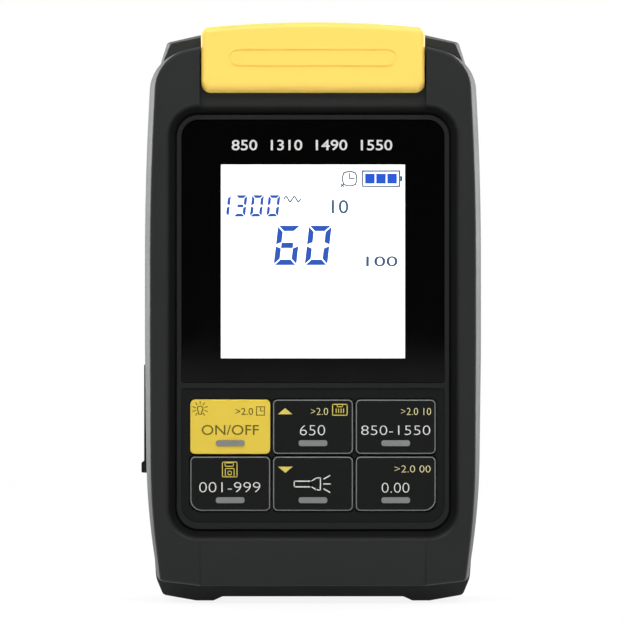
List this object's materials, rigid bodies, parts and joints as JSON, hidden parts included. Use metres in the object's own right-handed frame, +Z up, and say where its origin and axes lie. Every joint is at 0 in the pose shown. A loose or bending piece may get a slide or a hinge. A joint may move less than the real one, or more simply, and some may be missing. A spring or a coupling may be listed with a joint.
{
  "type": "optical power meter",
  "caption": "Hand-held meter with a rugged rounded case, a large framed display over a block of press keys, and a flip-up cover over its top ports.",
  "frame": {"origin": "middle of the footprint on the surface that the two feet of the rear shell stand on", "axes": "+Z up along the meter, +Y from the keys towards the back, +X to the right of someone reading the display"},
  "size_m": [0.0696, 0.0324, 0.1178],
  "materials": {
    "bumper": "soft satin",
    "rear_case": "fine spark grain",
    "panel": "fine satin",
    "window": "polished",
    "lcd_frame": "moulded",
    "lcd_glass": "polished",
    "backlight": "lit diffuser",
    "yellow_key": "satin",
    "black_key": "satin",
    "silicone": "matte",
    "steel": "plated",
    "dark_steel": "blackened",
    "board": "solder mask",
    "chip": "moulded",
    "jack": "moulded",
    "gold": "plated",
    "flap": "matte",
    "cover": "smooth satin",
    "port_metal": "nickel plated",
    "lens": "clear",
    "emitter": "resin",
    "cell": "wrapped"
  },
  "bodies": {
    "case": {"front_shell": "bumper", "rear_shell": "rear_case", "face_panel": "panel", "display_window": "window", "lcd_frame": "lcd_frame", "lcd_glass": "lcd_glass", "lcd_backlight": "backlight", "keypad_mat": "silicone", "key_domes": "steel", "main_board": "board", "board_screws": "steel", "board_chips": "chip", "network_jack": "jack", "jack_contacts": "gold", "hinge_pin": "steel", "detector_port": "port_metal", "detector_diode": "gold", "fault_locator_port": "port_metal", "laser_module": "gold", "torch_lens": "lens", "torch_emitter": "emitter", "battery_1": "cell", "battery_2": "cell", "battery_3": "cell", "battery_contacts": "steel", "case_screws": "dark_steel"},
    "cover": {"flip_cover": "cover"},
    "flap": {"port_flap": "flap"},
    "door": {"battery_door": "rear_case"},
    "key_on_off": {"key_on_off": "yellow_key"},
    "key_fault_locator": {"key_fault_locator": "black_key"},
    "key_wavelength": {"key_wavelength": "black_key"},
    "key_save": {"key_save": "black_key"},
    "key_torch": {"key_torch": "black_key"},
    "key_reference": {"key_reference": "black_key"}
  },
  "joints": [
    {"name": "cover_hinge", "type": "hinge", "parent": "case", "child": "cover", "pos_m": [0, 0.0096, 0.1114], "axis": [-1, 0, 0], "range_deg": [0, 165]},
    {"name": "flap_hinge", "type": "hinge", "parent": "case", "child": "flap", "pos_m": [-0.034, 0.0019, 0.048], "axis": [0, 1, 0], "range_deg": [0, 100]},
    {"name": "door_lift", "type": "slide", "parent": "case", "child": "door", "axis": [0, 1, 0], "range_m": [0, 0.025]},
    {"name": "key_on_off_press", "type": "slide", "parent": "case", "child": "key_on_off", "axis": [0, 1, 0], "range_m": [0, 0.0005], "stiffness_N_per_m": 500, "springref_m": -0.0002},
    {"name": "key_fault_locator_press", "type": "slide", "parent": "case", "child": "key_fault_locator", "axis": [0, 1, 0], "range_m": [0, 0.0005], "stiffness_N_per_m": 500, "springref_m": -0.0002},
    {"name": "key_wavelength_press", "type": "slide", "parent": "case", "child": "key_wavelength", "axis": [0, 1, 0], "range_m": [0, 0.0005], "stiffness_N_per_m": 500, "springref_m": -0.0002},
    {"name": "key_save_press", "type": "slide", "parent": "case", "child": "key_save", "axis": [0, 1, 0], "range_m": [0, 0.0005], "stiffness_N_per_m": 500, "springref_m": -0.0002},
    {"name": "key_torch_press", "type": "slide", "parent": "case", "child": "key_torch", "axis": [0, 1, 0], "range_m": [0, 0.0005], "stiffness_N_per_m": 500, "springref_m": -0.0002},
    {"name": "key_reference_press", "type": "slide", "parent": "case", "child": "key_reference", "axis": [0, 1, 0], "range_m": [0, 0.0005], "stiffness_N_per_m": 500, "springref_m": -0.0002}
  ]
}
